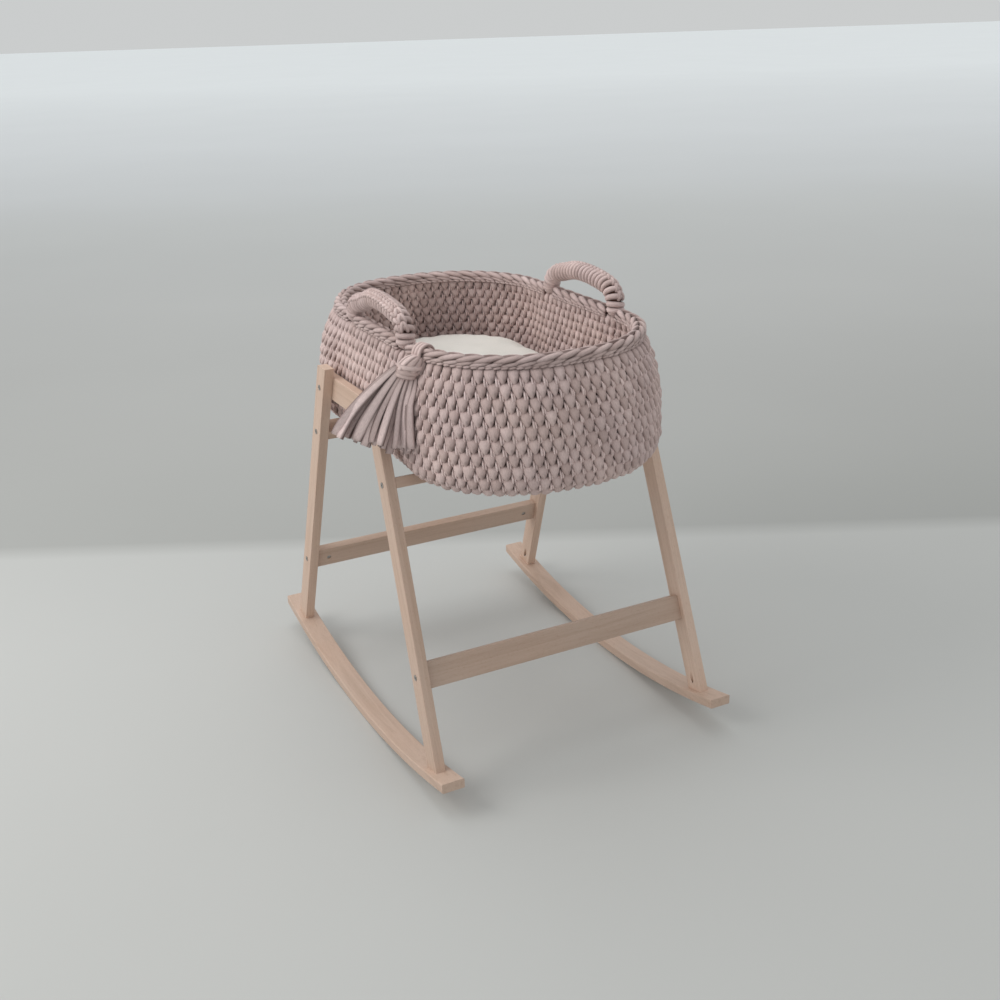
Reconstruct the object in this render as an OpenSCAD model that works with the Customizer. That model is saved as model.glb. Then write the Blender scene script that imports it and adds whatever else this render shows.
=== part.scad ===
// Crocheted carry bassinet on a wooden rocking stand.
// X runs across the stand, from the left end frame to the right one.
// Y runs along the basket and the rockers, front at -Y. Z is up.
// The origin is on the floor, under the middle of the stand.

/* [Stand] */
// Distance between the middle planes of the two end frames at foot level
frame_gap = 592; // [560:1:620]
// Angle by which each end frame leans inwards
lean = 1.4; // [0.5:0.1:2]
// Angle between each leg and the vertical, within its frame
splay = 20.6; // [18:0.1:22]
// Distance from the middle of the rocker to a leg's axis at its foot
foot_reach = 374.5; // [360:0.5:390]
// Thickness of a leg, across its frame
leg_t = 20; // [18:1:22]
// Depth of a leg, within its frame
leg_d = 42; // [40:1:46]
// Height of the legs' flat tops above the floor
leg_top = 713; // [700:1:740]
// Radius of the eased edges of all the timber
edge_r = 1.5; // [1:0.5:2]

/* [Rockers] */
// Length of a rocker from end to end
rocker_l = 900; // [860:5:940]
// Width of a rocker
rocker_w = 45; // [40:1:50]
// Thickness of a rocker
rocker_t = 19; // [18:1:22]
// Radius of a rocker's running face
rocker_r = 1880; // [1700:10:2100]

/* [Rails] */
// Width of the stretchers and the cross rails
rail_w = 50; // [44:1:56]
// Thickness of the stretchers and the cross rails
rail_t = 18; // [16:1:18]
// Height of the stretchers' centre line
stretcher_z = 222; // [180:1:260]
// Height of the cross rails' centre line
cross_rail_z = 667; // [660:1:672]
// Height of the bearers' centre line
bearer_z = 562; // [555:1:568]
// Thickness of a bearer, measured along the legs
bearer_t = 20; // [18:1:22]

/* [Basket] */
// Length of the basket over its rim
basket_l = 792; // [770:1:810]
// Width of the basket over its rim
basket_w = 464; // [450:1:466]
// Corner radius of the rim's outline
corner_r = 215; // [190:1:220]
// Height from the underside to the top of the rim
basket_h = 246; // [240:1:260]
// Thickness of the crocheted wall and base
wall_t = 20; // [16:1:22]
// How far the wall bellies out beyond the rim
belly = 17; // [10:1:17]
// Distance by which the basket sits forward of the stand's middle
basket_forward = 10; // [0:1:20]
// Width of the braided rim
rim_w = 24; // [22:1:26]
// Height of the braided rim
rim_h = 20; // [18:1:22]

/* [Handles] */
// Distance between the two roots of a handle
handle_span = 256; // [240:2:280]
// Rise of the handle's centre line above the rim
handle_rise = 49; // [48:1:60]
// Radius of the handle's shoulders, on the centre line
shoulder_r = 40; // [36:1:46]
// Radius of the crocheted sleeve
grip_r = 18; // [16:0.5:19]
// Radius of the rope inside the sleeve
rope_r = 8; // [6:0.5:10]
// Distance by which the handles sit forward of the basket's middle
handle_forward = 28; // [0:1:40]

/* [Tassel] */
// Where the tassel hangs, as an angle round the front left corner
tassel_angle = 12; // [8:1:16]
// Radius of the tassel's bound head
head_r = 14; // [12:0.5:14]
// Length of the tassel's strands, from the head down
strand_l = 148; // [130:1:160]

/* [Mattress] */
// Thickness of the mattress
mattress_t = 84; // [60:1:90]
// Gap between the mattress and the rim all round
mattress_gap = 10; // [4:0.5:16]
// Thickness of the mattress cover
cover_t = 4; // [3:0.5:6]

/* [Fasteners] */
// Radius of the frame bolts
bolt_r = 3; // [2.5:0.25:4]
// Radius of the bolts' heads
bolt_head_r = 5.5; // [5:0.25:7]
// How far the bolts reach into the rails' end grain
bolt_reach = 42; // [38:1:50]
// Radius of the barrel nuts
barrel_r = 5; // [4.5:0.25:6]
// Radius of the wooden dowels in the feet
dowel_r = 3; // [2.5:0.25:4]

/* [Hidden] */

$fn = 64;
timber = "#dcbfa2";
steel = "#a8a8a4";
yarn = "#b9a09a";
dark_yarn = "#a58c86";
ivory = "#e9e6db";

left = -1;
right = 1;
front = -1;
back = 1;
big = 2000;
clear = 0.3;
thread_clear = 0.05;

// The legs' feet stand on the rockers' concave top face.
seat_r = rocker_r - rocker_t;
foot_z = rocker_r - sqrt(seat_r * seat_r - foot_reach * foot_reach);

// Distance up a leg's axis to a height, and the axis's distance from the middle there.
function up_leg(z) = (z - foot_z) / (cos(lean) * cos(splay));
function leg_y(z) = foot_reach - (z - foot_z) / cos(lean) * tan(splay);

// Fastener lengths.
head_h = 3;
head_sunk = 2;
barrel_l = 14;
barrel_in = 30;
sleeve_r = 4;
sleeve_flange_r = 7.5;
sleeve_flange_h = 2;
sleeve_l = 13;
pocket_up = 28;
pocket_angle = atan(leg_t / 2 / pocket_up);
screw_r = 2;
screw_head_r = 4;
screw_tip = 14;
screw_seat = 15;
pocket_r = 4.6;
dowel_pitch = 26;
dowel_down = 12;
dowel_up = 18;

// The basket rests on the upper outer edges of the two bearers.
bearer_edge = leg_d / 2 * sin(splay) + bearer_t / 2 * cos(splay);
basket_z = bearer_z + bearer_edge + clear;
rim_top = basket_z + basket_h;
rim_bottom = rim_top - rim_h;
belly_z = basket_z + 75;
heel = 46;
base_inset = heel - belly + 4;
basket_y = -basket_forward;
rim_over = 2;

handle_x = basket_w / 2 + rim_over - rim_w / 2;
handle_y = basket_y - handle_forward;
crown_r = ((handle_span / 2 - shoulder_r) ^ 2 + handle_rise ^ 2 - shoulder_r ^ 2)
    / (2 * (handle_rise - shoulder_r));
crown_half = asin((handle_span / 2 - shoulder_r) / (crown_r - shoulder_r));

shoulder_steps = 8;
crown_steps = 10;

loop_r = 16;
loop_yarn_r = 3.5;
head_out = 18;
head_z = rim_bottom - 11;

mattress_z = basket_z + wall_t + clear;
mattress_inset = rim_w - rim_over + mattress_gap;

// ---------------------------------------------------------------- shapes

module rounded_rectangle(w, l, r) {
    square([w - 2 * r, l], center = true);
    square([w, l - 2 * r], center = true);
    for (sx = [-1, 1], sy = [-1, 1])
        translate([sx * (w / 2 - r), sy * (l / 2 - r)]) circle(r);
}

module chamfered_rectangle(w, l, c) {
    polygon([
        [-w / 2 + c, -l / 2], [w / 2 - c, -l / 2], [w / 2, -l / 2 + c], [w / 2, l / 2 - c],
        [w / 2 - c, l / 2], [-w / 2 + c, l / 2], [-w / 2, l / 2 - c], [-w / 2, -l / 2 + c]]);
}

// A square-edged board along X with eased long edges.
module board_x(l, d, h) {
    rotate([90, 0, 90]) linear_extrude(l, center = true) rounded_rectangle(d, h, edge_r);
}

// The same board standing along Z.
module board_z(l, w, d) {
    linear_extrude(l) rounded_rectangle(w, d, edge_r);
}

// Sweeps a profile round a rounded rectangle: its x is the distance outside the outline.
module along_outline(w, l, r) {
    for (sx = [-1, 1], sy = [-1, 1])
        translate([sx * (w / 2 - r), sy * (l / 2 - r), 0])
            rotate([0, 0, atan2(sy, sx) - 45])
                rotate_extrude(angle = 90) translate([r, 0]) children();
    for (turn = [0, 180])
        rotate([0, 0, turn]) translate([w / 2, l / 2 - r, 0])
            rotate([90, 0, 0]) linear_extrude(l - 2 * r) children();
    for (turn = [90, 270])
        rotate([0, 0, turn]) translate([l / 2, w / 2 - r, 0])
            rotate([90, 0, 0]) linear_extrude(w - 2 * r) children();
}

// ---------------------------------------------------------------- places

// An end frame's own plane: x across it, z up it, from the feet.
module on_frame(side) {
    translate([side * frame_gap / 2, 0, foot_z]) rotate([0, -side * lean, 0]) children();
}

// A leg's axis: z up it from the foot.
module on_leg(side, end) {
    on_frame(side) translate([0, end * foot_reach, 0]) rotate([end * splay, 0, 0]) children();
}

// A point up a leg's axis, with x pointing out of the stand.
module at_bolt(side, end, z) {
    on_leg(side, end) translate([0, 0, up_leg(z)]) rotate([0, 0, side > 0 ? 0 : 180]) children();
}

// The slanting axis of a foot's pocket screw, z pointing up and inwards.
module at_pocket(side, end) {
    on_leg(side, end) rotate([0, -side * pocket_angle, 0]) children();
}

module every_leg() {
    for ($side = [left, right], $end = [front, back]) children();
}

module at_basket() {
    translate([0, basket_y, 0]) children();
}

module at_handle(side) {
    translate([side * handle_x, handle_y, rim_top]) rotate([90, 0, 90]) children();
}

// The tassel's place on the basket's outline, x pointing out of the basket.
module at_tassel() {
    translate([-(basket_w / 2 - corner_r), basket_y - (basket_l / 2 - corner_r), 0])
        rotate([0, 0, 180 + tassel_angle]) children();
}

// ---------------------------------------------------------------- fasteners

// A bolt through a leg, pointing into the stand.
module bolt(reach, r, head) {
    translate([leg_t / 2 - head_sunk, 0, 0]) {
        rotate([0, -90, 0]) cylinder(r = r, h = reach + leg_t - head_sunk);
        rotate([0, 90, 0]) cylinder(r = head, h = head_h);
    }
}

module bolt_with_socket(reach) {
    difference() {
        bolt(reach, bolt_r, bolt_head_r);
        translate([leg_t / 2 - head_sunk + 1, 0, 0]) rotate([0, 90, 0]) cylinder(r = 2.3, h = head_h, $fn = 6);
    }
}

module bolt_bore(reach) {
    bolt(reach + 1, bolt_r + clear, bolt_head_r + clear);
}

// A barrel nut's bore, or the nut itself, across a rail's end. turn = 0 lies along the leg.
module barrel(turn, r, l) {
    translate([-leg_t / 2 - barrel_in, 0, 0]) rotate([turn, 0, 0]) cylinder(r = r, h = l, center = true);
}

module barrel_nut(turn) {
    difference() {
        barrel(turn, barrel_r, barrel_l);
        bolt(bolt_reach, bolt_r + thread_clear, bolt_r + thread_clear);
    }
}

// The hole that a barrel nut goes in by, open on one side of the rail.
module barrel_bore(turn, rail) {
    translate([-leg_t / 2 - barrel_in, 0, 0]) rotate([turn, 0, 0])
        translate([0, 0, -barrel_l / 2]) cylinder(r = barrel_r + thread_clear, h = rail + barrel_l);
}

module sleeve_nut(r_extra, flange_h) {
    translate([-leg_t / 2 - rail_t, 0, 0]) {
        rotate([0, 90, 0]) cylinder(r = sleeve_r + r_extra, h = sleeve_l);
        translate([sleeve_flange_h, 0, 0]) rotate([0, -90, 0])
            cylinder(r = sleeve_flange_r + r_extra, h = flange_h);
    }
}

module pocket_screw() {
    translate([0, 0, -screw_tip]) cylinder(r = screw_r, h = screw_tip + screw_seat);
    difference() {
        translate([0, 0, screw_seat]) cylinder(r = screw_head_r, h = 2.5);
        translate([0, 0, screw_seat + 1.2]) cylinder(r = 1.5, h = 2, $fn = 4);
    }
}

module pocket_bore() {
    translate([0, 0, -screw_tip - 1]) cylinder(r = screw_r + thread_clear, h = screw_tip + screw_seat + 2);
    translate([0, 0, screw_seat]) cylinder(r = pocket_r, h = 60);
}

module dowels(r) {
    for (s = [-1, 1])
        translate([0, s * dowel_pitch / 2, -dowel_down]) cylinder(r = r, h = dowel_down + dowel_up);
}

// ---------------------------------------------------------------- stand

module rocker(side) {
    color(timber) difference() {
        intersection() {
            translate([side * frame_gap / 2, 0, rocker_r]) rotate([0, 90, 0]) rotate([0, 0, 180])
                rotate_extrude($fn = 720) translate([rocker_r - rocker_t / 2, 0])
                    chamfered_rectangle(rocker_t, rocker_w, edge_r);
            translate([side * frame_gap / 2, 0, 0]) cube([2 * rocker_w, rocker_l, 400], center = true);
        }
        for (end = [front, back]) {
            on_leg(side, end) dowels(dowel_r);
            at_pocket(side, end) pocket_bore();
        }
    }
}

module leg(side, end) {
    color(timber) difference() {
        intersection() {
            on_leg(side, end) translate([0, 0, -40]) board_z(leg_top + 40, leg_t, leg_d);
            translate([0, 0, rocker_r]) rotate([0, 90, 0])
                cylinder(r = seat_r, h = big, center = true, $fn = 720);
            translate([-big / 2, -big / 2, 0]) cube([big, big, leg_top]);
        }
        on_leg(side, end) dowels(dowel_r);
        at_pocket(side, end) pocket_bore();
        at_bolt(side, end, stretcher_z) bolt_bore(1);
        at_bolt(side, end, bearer_z) bolt_bore(1);
        at_bolt(side, end, cross_rail_z) bolt_bore(1);
    }
}

// The side rail inside each end frame, cut flush with the legs' outer edges.
module cross_rail(side) {
    color(timber) difference() {
        on_frame(side)
            translate([-side * (leg_t + rail_t) / 2, 0, (cross_rail_z - foot_z) / cos(lean)])
                rotate([0, 0, 90]) board_x(2 * foot_reach, rail_t, rail_w);
        for (end = [front, back]) {
            on_leg(side, end)
                translate([0, end * (leg_d / 2 + big / 2), 0]) cube(big, center = true);
            at_bolt(side, end, cross_rail_z) {
                bolt_bore(rail_t);
                sleeve_nut(thread_clear, sleeve_flange_h + 1);
            }
        }
    }
}

// Everything beyond the inner faces of the two end frames.
module outside_frames() {
    for (side = [left, right])
        on_frame(side) translate([side * (big - leg_t) / 2, 0, 0]) cube([big, 2 * big, 2 * big], center = true);
}

// A long rail between the two frames, tilted to lie in line with the legs.
module long_rail(end, z, across, along_leg) {
    difference() {
        translate([0, end * leg_y(z), z]) rotate([end * splay, 0, 0]) board_x(frame_gap, across, along_leg);
        outside_frames();
    }
}

module stretcher(end) {
    color(timber) difference() {
        long_rail(end, stretcher_z, rail_t, rail_w);
        for (side = [left, right]) at_bolt(side, end, stretcher_z) {
            bolt_bore(bolt_reach);
            barrel_bore(side * end > 0 ? 90 : -90, rail_t);
        }
    }
}

module bearer(end) {
    color(timber) difference() {
        long_rail(end, bearer_z, leg_d, bearer_t);
        for (side = [left, right]) at_bolt(side, end, bearer_z) {
            bolt_bore(bolt_reach);
            barrel_bore(180, bearer_t);
        }
    }
}

module stretcher_bolts() {
    color(steel) every_leg() at_bolt($side, $end, stretcher_z) bolt_with_socket(bolt_reach);
}

module stretcher_barrel_nuts() {
    color(steel) every_leg() at_bolt($side, $end, stretcher_z) barrel_nut(90);
}

module bearer_bolts() {
    color(steel) every_leg() at_bolt($side, $end, bearer_z) bolt_with_socket(bolt_reach);
}

module bearer_barrel_nuts() {
    color(steel) every_leg() at_bolt($side, $end, bearer_z) barrel_nut(0);
}

module cross_rail_bolts() {
    color(steel) every_leg() at_bolt($side, $end, cross_rail_z) bolt_with_socket(rail_t - sleeve_flange_h - 1);
}

module cross_rail_sleeve_nuts() {
    color(steel) every_leg() at_bolt($side, $end, cross_rail_z) difference() {
        sleeve_nut(0, sleeve_flange_h);
        bolt(rail_t - sleeve_flange_h - 1, bolt_r + thread_clear, bolt_r);
    }
}

module foot_screws() {
    color(steel) every_leg() at_pocket($side, $end) pocket_screw();
}

module foot_dowels() {
    color(timber) every_leg() on_leg($side, $end) dowels(dowel_r);
}

// ---------------------------------------------------------------- basket

// Distance of the wall's outer face from the rim's outline, above the belly.
function bulge(z) = belly * (1 - ((z - belly_z) / (rim_bottom - belly_z)) ^ 2);

// The wall's outer face (inward = 0) or inner face (inward = wall_t), from the rim down.
function wall_face(inward) = [
    for (i = [0 : 8]) let (z = rim_bottom + (belly_z - rim_bottom) * i / 8) [bulge(z) - inward, z],
    for (i = [1 : 8]) let (a = i * 90 / 8) [
        belly - inward - (heel - inward) * (1 - cos(a)),
        belly_z - (belly_z - basket_z - inward) * sin(a)]];

function reversed(points) = [for (i = [len(points) - 1 : -1 : 0]) points[i]];

module basket_wall() {
    color(yarn) at_basket() along_outline(basket_w, basket_l, corner_r)
        polygon(concat(
            wall_face(0),
            [[-base_inset, basket_z], [-base_inset, basket_z + wall_t]],
            reversed(wall_face(wall_t))));
}

module basket_base() {
    color(dark_yarn) at_basket() translate([0, 0, basket_z]) linear_extrude(wall_t)
        rounded_rectangle(
            basket_w - 2 * base_inset, basket_l - 2 * base_inset, corner_r - base_inset);
}

module basket_rim() {
    color(yarn) difference() {
        at_basket() along_outline(basket_w, basket_l, corner_r)
            translate([rim_over - rim_w / 2, rim_bottom + rim_h / 2])
                rounded_rectangle(rim_w, rim_h, 7);
        // Saddles in which the roots of the handles turn.
        for (side = [left, right], s = [-1, 1])
            translate([side * handle_x, handle_y + s * handle_span / 2, rim_top])
                rotate([0, 90, 0]) cylinder(r = grip_r + 2 * clear, h = 2 * rim_w, center = true);
    }
}

// A point of a handle's arch, by the angle of its outward normal: two tight
// shoulders with a flat crown between them. The third value is that angle.
function arch_point(a) =
    abs(a - 90) <= crown_half
        ? [crown_r * cos(a), handle_rise - crown_r + crown_r * sin(a), a]
        : [sign(90 - a) * (handle_span / 2 - shoulder_r) + shoulder_r * cos(a), shoulder_r * sin(a), a];

// The arch from one root to the other, each station with its own radius.
function arch_stations(r) = [
    for (a = concat(
        [for (i = [0 : shoulder_steps - 1]) i * (90 - crown_half) / shoulder_steps],
        [for (i = [0 : crown_steps]) 90 - crown_half + i * 2 * crown_half / crown_steps],
        [for (i = [1 : shoulder_steps]) 90 + crown_half + i * (90 - crown_half) / shoulder_steps]))
    concat(arch_point(a), r)];

// Stations that round off a root, below the arch's end at normal angle a.
function root_stations(r, a, angles) = [
    for (b = angles) [cos(a) * handle_span / 2, -r * sin(b), a, r * cos(b)]];

// The rope's arch, carried straight down into both roots.
function rope_stations(r, down) = concat(
    [[handle_span / 2, -down, 0, r]], arch_stations(r), [[-handle_span / 2, -down, 180, r]]);

// A tube through stations of [along, up, normal angle, radius].
module arch_tube(stations) {
    sides = 16;
    last = len(stations) - 1;
    polyhedron(
        points = [
            for (s = stations, j = [0 : sides - 1]) let (b = 360 * j / sides) [
                s[0] + s[3] * cos(b) * cos(s[2]), s[1] + s[3] * cos(b) * sin(s[2]), s[3] * sin(b)]],
        faces = concat(
            [[for (j = [sides - 1 : -1 : 0]) j]],
            [for (i = [0 : last - 1], j = [0 : sides - 1]) let (k = (j + 1) % sides)
                [i * sides + j, i * sides + k, (i + 1) * sides + k, (i + 1) * sides + j]],
            [[for (j = [0 : sides - 1]) last * sides + j]]));
}

module handle_sleeve(side) {
    round_off = [70, 45, 22];
    color(yarn) at_handle(side) difference() {
        arch_tube(concat(
            root_stations(grip_r, 0, round_off),
            arch_stations(grip_r),
            root_stations(grip_r, 180, reversed(round_off))));
        arch_tube(rope_stations(rope_r + thread_clear, 2 * grip_r));
    }
}

module handle_rope(side) {
    color(ivory) at_handle(side) arch_tube(rope_stations(rope_r, grip_r - 4));
}

module tassel_loop() {
    color(yarn) at_tassel() translate([corner_r + rim_over - rim_w / 2, 0, rim_bottom + rim_h / 2])
        rotate([90, 0, 0]) rotate_extrude() translate([loop_r, 0]) circle(loop_yarn_r, $fn = 24);
}

module tassel_head() {
    color(yarn) at_tassel() translate([corner_r + head_out, 0, head_z]) sphere(head_r);
}

// The strands hang in a flat fan that spreads away from the basket and backwards.
module tassel_skirt() {
    fan = [[6, 3, 0], [56, -28, 0], [88, -63, 30]];
    color(dark_yarn) at_tassel() translate([corner_r + head_out, 0, head_z - head_r - 1]) hull() {
        translate([4, 0, -6]) cylinder(r1 = 11, r2 = 8, h = 5, $fn = 24);
        for (tip = fan) translate([tip[0] + 12, tip[1], tip[2] - strand_l + 14]) sphere(14, $fn = 24);
    }
}

// ---------------------------------------------------------------- mattress

module mattress_plan(inset) {
    rounded_rectangle(
        basket_w - 2 * (mattress_inset + inset), basket_l - 2 * (mattress_inset + inset),
        corner_r - mattress_inset - inset);
}

module mattress_cover() {
    color(ivory) at_basket() translate([0, 0, mattress_z]) difference() {
        linear_extrude(mattress_t) mattress_plan(0);
        translate([0, 0, cover_t]) linear_extrude(mattress_t - 2 * cover_t) mattress_plan(cover_t);
    }
}

module mattress_foam() {
    color("#f0e6c0") at_basket() translate([0, 0, mattress_z + cover_t])
        linear_extrude(mattress_t - 2 * cover_t) mattress_plan(cover_t);
}

// ---------------------------------------------------------------- the nodes

rocker(left);  // rocker_left
rocker(right);  // rocker_right
leg(left, front);  // leg_front_left
leg(left, back);  // leg_back_left
leg(right, front);  // leg_front_right
leg(right, back);  // leg_back_right
cross_rail(left);  // cross_rail_left
cross_rail(right);  // cross_rail_right
stretcher(front);  // stretcher_front
stretcher(back);  // stretcher_back
bearer(front);  // bearer_front
bearer(back);  // bearer_back
stretcher_bolts();
stretcher_barrel_nuts();
bearer_bolts();
bearer_barrel_nuts();
cross_rail_bolts();
cross_rail_sleeve_nuts();
foot_screws();
foot_dowels();
basket_base();
basket_wall();
basket_rim();
handle_sleeve(left);  // handle_left_sleeve
handle_rope(left);  // handle_left_rope
handle_sleeve(right);  // handle_right_sleeve
handle_rope(right);  // handle_right_rope
tassel_loop();
tassel_head();
tassel_skirt();
mattress_cover();
mattress_foam();
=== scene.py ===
"""A crocheted carry bassinet with a tassel and a mattress, on a wooden rocking stand.

Lengths are in millimetres until a mesh is made, and the stage at the end is in metres. X runs
across the stand, Y along the basket towards the back, and Z up from the floor.
"""

import math

import bpy
import numpy as np
from mathutils import Matrix, Vector
from mathutils.bvhtree import BVHTree


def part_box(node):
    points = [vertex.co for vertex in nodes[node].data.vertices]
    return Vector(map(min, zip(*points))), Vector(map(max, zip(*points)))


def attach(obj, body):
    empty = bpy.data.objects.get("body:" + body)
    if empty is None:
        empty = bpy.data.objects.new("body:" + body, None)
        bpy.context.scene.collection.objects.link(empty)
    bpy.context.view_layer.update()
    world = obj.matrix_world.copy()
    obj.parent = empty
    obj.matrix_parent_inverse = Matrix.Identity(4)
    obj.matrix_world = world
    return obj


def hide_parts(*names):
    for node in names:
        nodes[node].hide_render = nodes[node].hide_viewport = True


MM = 0.001

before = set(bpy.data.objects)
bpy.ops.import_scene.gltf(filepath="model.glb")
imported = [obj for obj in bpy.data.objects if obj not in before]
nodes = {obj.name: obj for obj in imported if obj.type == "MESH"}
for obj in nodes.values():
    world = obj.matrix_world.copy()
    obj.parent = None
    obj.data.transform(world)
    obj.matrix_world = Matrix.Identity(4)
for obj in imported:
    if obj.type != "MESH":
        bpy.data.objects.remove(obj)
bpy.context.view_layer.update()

# The basket, as the CAD part has it.
BASKET_Y = -10.0
HALF_W = 232.0
HALF_L = 396.0
CORNER_R = 215.0
BASKET_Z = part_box("basket_base")[0].z / MM
RIM_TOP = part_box("basket_rim")[1].z / MM
RIM_H = 20.0
RIM_BOTTOM = RIM_TOP - RIM_H
BELLY = 17.0
BELLY_Z = BASKET_Z + 75.0
HEEL = 46.0
HEEL_FULLNESS = 3.4
# The soft wall is squeezed between the cross rails and swells beyond them: by how much, from
# which distance along Y, and over what length it grows.
SWELL = 15.0
SWELL_FROM = 120.0
SWELL_OVER = 130.0
# The rim is drawn in behind the left handle: how far, round which point, how widely, which way.
DRAW_IN = 14.0
DRAW_AT = (-208.0, 262.0)
DRAW_SPREAD = (90.0, 120.0)
DRAW_WAY = (0.90, -0.44)
# The base sags where it overhangs the bearers.
SAG = 8.0
SAG_FROM = 185.0
SAG_OVER = 150.0
WALL_T = 20.0
# The middle of the rim lies this far inside the wall's outer face.
RIM_D = -10.0

# The handles' arches.
HANDLE_X = 222.0
HANDLE_Y = -38.0
HANDLE_SPAN = 256.0
HANDLE_RISE = 49.0
SHOULDER_R = 40.0
GRIP_R = 18.0

# The crochet.
STITCH_W = 21.0
ROUND_STITCHES = 107
WALL_ROWS = 11
BASE_ROWS = 8
EDGE_STITCHES = 96
EDGE_ROW_H = 12.0
# How deep under the wall's outer face the plain sheet behind the stitches lies, which is painted
# wholly in shade.
SHEET_DEPTH = -8.5
SHEET_T = 3.0

ACROSS = np.array([1.0, 0.0, 0.0])
UPWARD = np.array([0.0, 0.0, 1.0])

rng = np.random.default_rng(7)


# ---------------------------------------------------------------- meshes


def unit(v):
    return v / np.maximum(np.linalg.norm(v, axis=-1, keepdims=True), 1e-9)


def full_turn(count):
    """Angles evenly spaced round a circle."""
    return np.arange(count) * 2 * math.pi / count


def eased(share):
    """A share held between 0 and 1 that starts and ends softly."""
    share = np.clip(share, 0, 1)
    return share**2 * (3 - 2 * share)


def tubes(points, out, width, depth, sides=8, closed=False, groove=0.0):
    """Many tubes at once, as one mesh of quads.

    points and out are [tubes, stations, 3]: the centre lines, and the way each station's depth
    points. width and depth are half sizes, [tubes, stations]. groove presses a crease into the
    side that faces out.
    """
    count, stations = points.shape[:2]
    width = np.broadcast_to(width, (count, stations))
    depth = np.broadcast_to(depth, (count, stations))
    if closed:
        along = np.roll(points, -1, 1) - np.roll(points, 1, 1)
    else:
        along = np.gradient(points, axis=1)
    along = unit(along)
    side = unit(np.cross(along, out))
    up = np.cross(side, along)
    theta = full_turn(sides)
    press = 1 - groove * np.clip(np.sin(theta), 0, 1) ** 5
    ring = (
        width[..., None, None] * np.cos(theta)[:, None] * side[:, :, None, :]
        + depth[..., None, None] * (np.sin(theta) * press)[:, None] * up[:, :, None, :]
    )
    vertices = (points[:, :, None, :] + ring).reshape(-1, 3)

    first = (np.arange(count) * stations * sides)[:, None, None]
    last = stations if closed else stations - 1
    i = np.arange(last)[None, :, None]
    j = np.arange(sides)[None, None, :]
    k = (j + 1) % sides
    ahead = (i + 1) % stations
    quads = np.stack(
        [
            first + i * sides + j,
            first + ahead * sides + j,
            first + ahead * sides + k,
            first + i * sides + k,
        ],
        -1,
    ).reshape(-1, 4)

    length = np.linalg.norm(np.diff(points, axis=1), axis=-1).cumsum(1)
    length = np.concatenate([np.zeros((count, 1)), length], 1)
    if closed:
        length = np.concatenate([length, length[:, -1:] + STITCH_W], 1)
    shift = rng.uniform(0, 900, (count, 1, 1))
    around = math.pi * (width.mean() + depth.mean()) / sides
    v0 = np.broadcast_to(length[:, :last, None] + shift, (count, last, sides))
    v1 = np.broadcast_to(length[:, 1 : last + 1, None] + shift, (count, last, sides))
    u0 = np.broadcast_to(j * around, (count, last, sides))
    u1 = u0 + around
    corners = [np.stack(pair, -1) for pair in ((u0, v0), (u0, v1), (u1, v1), (u1, v0))]
    uv = np.stack(corners, -2).reshape(-1, 4, 2)

    if not closed:
        m = np.arange(sides // 2 - 1)
        cap = np.stack([m, m + 1, sides - 2 - m, sides - 1 - m], -1)[None]
        start = (first + cap).reshape(-1, 4)
        end = (first + (stations - 1) * sides + cap[..., ::-1]).reshape(-1, 4)
        quads = np.concatenate([quads, start, end])
        uv = np.concatenate([uv, np.zeros((len(start) + len(end), 4, 2))])
    tone = np.repeat(rng.uniform(0, 1, count), stations * sides)
    # Every tube gets painted shade on its flanks.
    shade = np.tile(crevice_shade(sides), count * stations)
    return {"vertices": vertices, "quads": quads, "uv": uv, "tone": tone, "shade": shade}


def crevice_shade(sides, depth=0.55):
    """Painted shade: how light each corner of a tube's section is; its flanks sit in the crevices and
    are darkened.
    """
    return 1 - depth * np.abs(np.cos(full_turn(sides))) ** 4


def shaded_core(points, out, width, depth):
    """A tube that fills the middle of something, painted wholly in the yarn's darkest shade."""
    core = tubes(points, out, width, depth, 12)
    core["shade"] = np.zeros(len(core["vertices"]))
    return core


def piece(name, parts, material, body):
    """One object out of several sets of tubes, riding on a body."""
    vertices, quads, uv, tone, shade = [], [], [], [], []
    offset = 0
    for part in parts:
        vertices.append(part["vertices"])
        quads.append(part["quads"] + offset)
        uv.append(part["uv"])
        tone.append(part["tone"])
        shade.append(part["shade"])
        offset += len(part["vertices"])
    vertices = np.concatenate(vertices) * MM
    quads = np.concatenate(quads).astype(np.int32)
    uv = np.concatenate(uv) * MM

    mesh = bpy.data.meshes.new(name)
    mesh.vertices.add(len(vertices))
    mesh.vertices.foreach_set("co", vertices.astype(np.float32).ravel())
    mesh.loops.add(quads.size)
    mesh.loops.foreach_set("vertex_index", quads.ravel())
    mesh.polygons.add(len(quads))
    mesh.polygons.foreach_set("loop_start", np.arange(0, quads.size, 4, dtype=np.int32))
    mesh.polygons.foreach_set("use_smooth", np.ones(len(quads), bool))
    layer = mesh.uv_layers.new(name="yarn")
    layer.data.foreach_set("uv", uv.astype(np.float32).ravel())
    for label, values in (("tone", tone), ("shade", shade)):
        attribute = mesh.attributes.new(label, "FLOAT", "POINT")
        attribute.data.foreach_set("value", np.concatenate(values).astype(np.float32))
    mesh.update(calc_edges=True)
    mesh.validate()
    made = bpy.data.objects.new(name, mesh)
    bpy.context.scene.collection.objects.link(made)
    mesh.materials.append(material)
    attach(made, body)
    return made


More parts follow.
